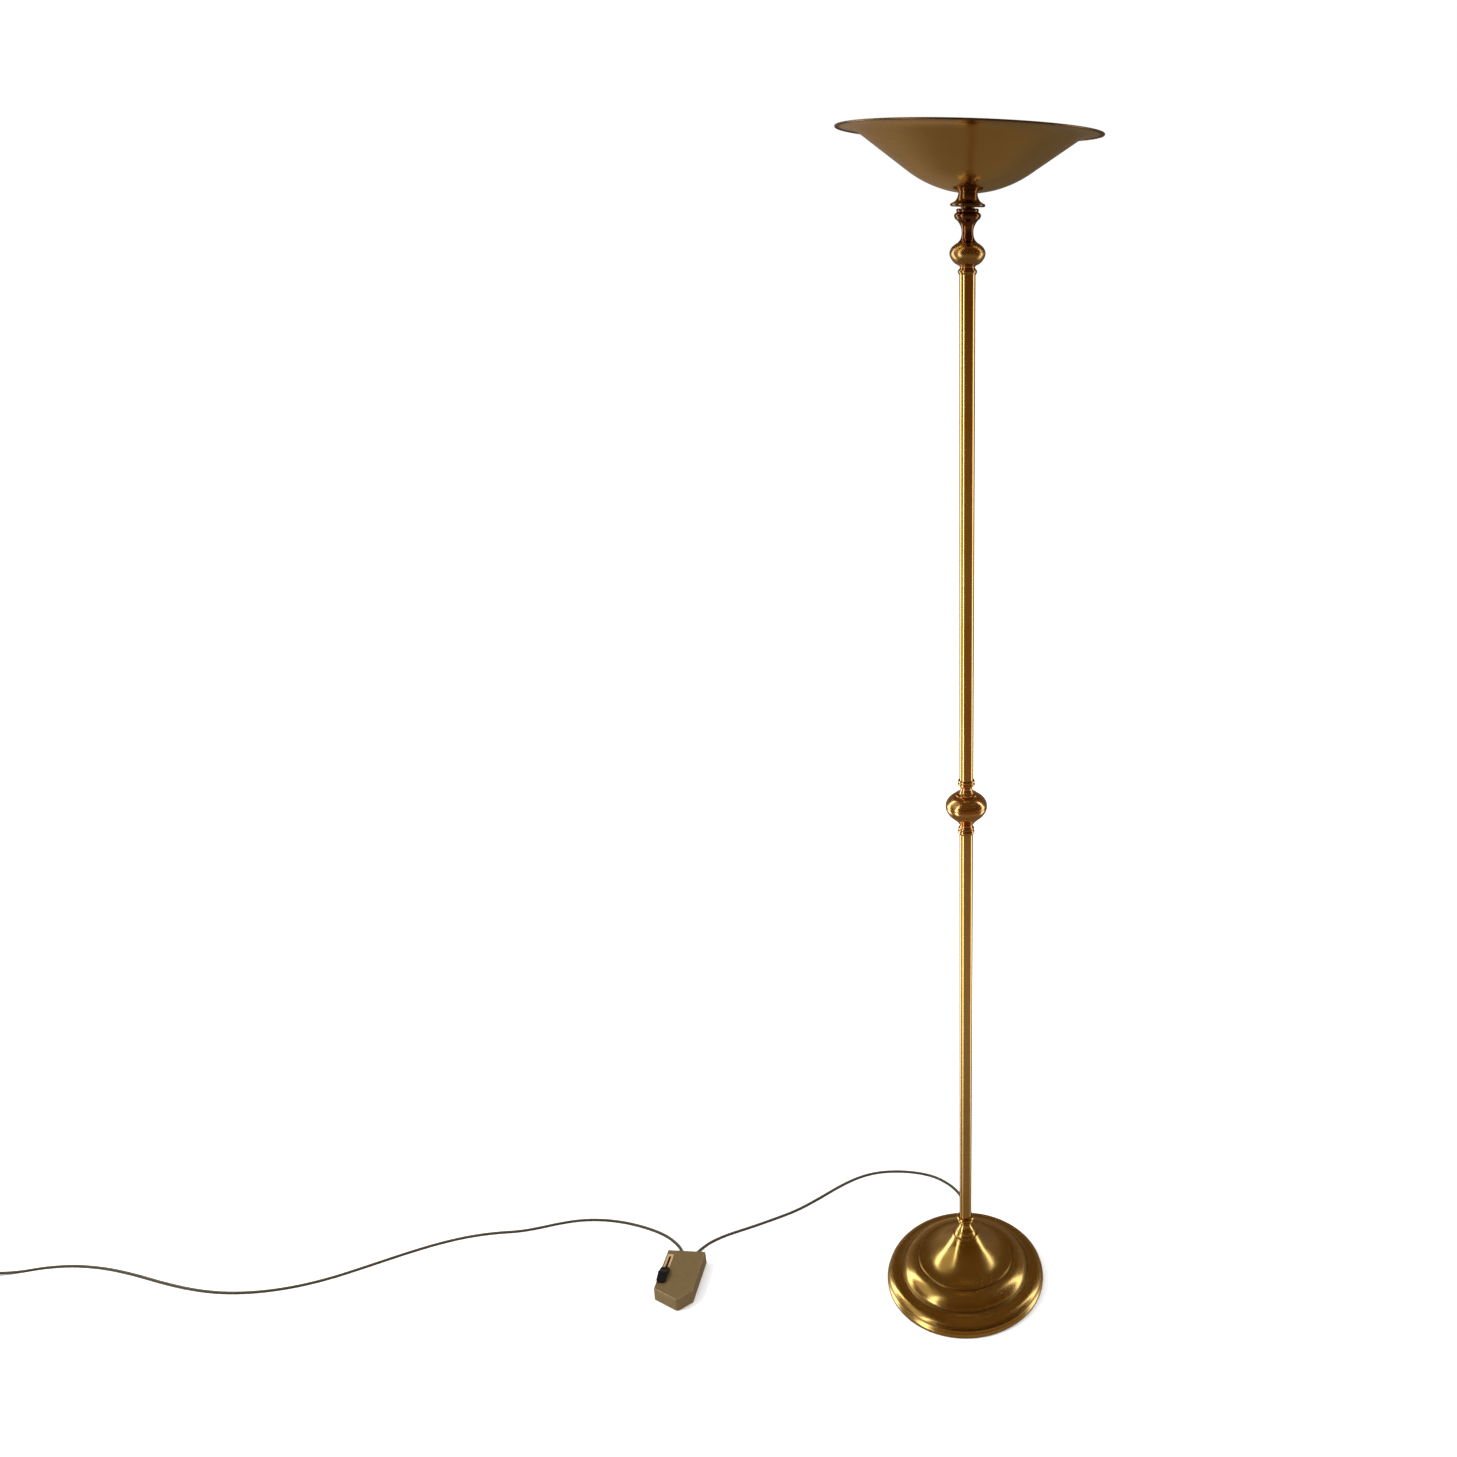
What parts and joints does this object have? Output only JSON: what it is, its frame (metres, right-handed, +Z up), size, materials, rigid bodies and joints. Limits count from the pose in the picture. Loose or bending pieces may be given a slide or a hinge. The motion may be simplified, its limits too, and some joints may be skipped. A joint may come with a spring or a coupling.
{
  "type": "torchiere floor lamp",
  "caption": "Free-standing uplighter with a weighted round stepped base, slim column with ball knuckle, shallow flared bowl, linear halogen lamp and an in-line foot dimmer with slider.",
  "frame": {"origin": "centre of the base on the floor, at the underside of the felt pad", "axes": "+Z up along the column; +Y towards the back, where the flex leaves the base; +X to the right, so the foot dimmer lies to the left"},
  "size_m": [1.9253, 0.4174, 1.7694],
  "materials": {
    "brass": "antique satin, spun and turned, clear lacquer",
    "felt": "black wool felt",
    "cast_iron": "as cast, painted black",
    "zinc_steel": "bright zinc plate",
    "nickel": "nickel plate",
    "steatite": "unglazed steatite",
    "quartz": "clear quartz",
    "tungsten": "drawn tungsten wire",
    "gold_flex": "translucent gold-brown flat twin flex",
    "gold_plastic": "moulded gold-brown plastic",
    "silicone": "silicone sleeve",
    "bronze_paint": "fine-textured bronze-gold paint",
    "black_plastic": "satin black",
    "rubber": "matt black",
    "circuit_board": "green solder mask",
    "aluminium": "plain",
    "component_plastic": "moulded epoxy",
    "copper_winding": "enamelled wire",
    "fuse_glass": "glass tube with metal ends"
  },
  "bodies": {
    "lamp": {"base_collar": "brass", "base_nipple": "zinc_steel", "base_nut": "zinc_steel", "base_pad": "felt", "base_shell": "brass", "base_washer": "zinc_steel", "base_weight": "cast_iron", "bell_cup": "brass", "bowl": "brass", "bowl_washer": "zinc_steel", "bracket_nut": "zinc_steel", "bracket_spacer": "zinc_steel", "capacitor": "component_plastic", "choke": "copper_winding", "clamp_screws": "zinc_steel", "column_cap": "brass", "column_flex": "gold_flex", "contact_spring_back": "zinc_steel", "contact_spring_front": "zinc_steel", "cord_clamp": "black_plastic", "cord_gland": "gold_plastic", "cord_lamp": "gold_flex", "cord_supply": "gold_flex", "dimmer_bezel": "bronze_paint", "dimmer_board": "circuit_board", "dimmer_cover": "bronze_paint", "dimmer_feet": "rubber", "dimmer_plate": "bronze_paint", "dimmer_screws": "zinc_steel", "finial_bulb": "brass", "finial_nipple": "zinc_steel", "finial_waist": "brass", "fuse": "fuse_glass", "head_nipple": "zinc_steel", "heat_sink": "aluminium", "holder_leads": "silicone", "knuckle_ball_lower": "brass", "knuckle_ball_upper": "brass", "knuckle_collar": "brass", "knuckle_neck": "brass", "knuckle_nipple": "zinc_steel", "lamp_bracket": "zinc_steel", "lamp_caps": "steatite", "lamp_envelope": "quartz", "lamp_filament": "tungsten", "lampholder_back": "steatite", "lampholder_front": "steatite", "lower_tube": "brass", "pin_sleeves": "gold_plastic", "plug_body": "gold_plastic", "plug_pins": "nickel", "plug_relief": "gold_plastic", "potentiometer": "black_plastic", "terminal_block": "black_plastic", "triac": "component_plastic", "upper_tube": "brass"},
    "slider": {"slider_knob": "black_plastic", "slider_blade": "zinc_steel"},
    "contact_front": {"contact_pin_front": "nickel"},
    "contact_back": {"contact_pin_back": "nickel"}
  },
  "joints": [
    {"name": "dimmer_slide", "type": "slide", "parent": "lamp", "child": "slider", "axis": [0.068, 0.9977, 0], "range_m": [0, 0.038]},
    {"name": "contact_front_press", "type": "slide", "parent": "lamp", "child": "contact_front", "axis": [0, -1, 0], "range_m": [0, 0.003], "stiffness_N_per_m": 400, "springref_m": -0.002},
    {"name": "contact_back_press", "type": "slide", "parent": "lamp", "child": "contact_back", "axis": [0, 1, 0], "range_m": [0, 0.003], "stiffness_N_per_m": 400, "springref_m": -0.002}
  ]
}
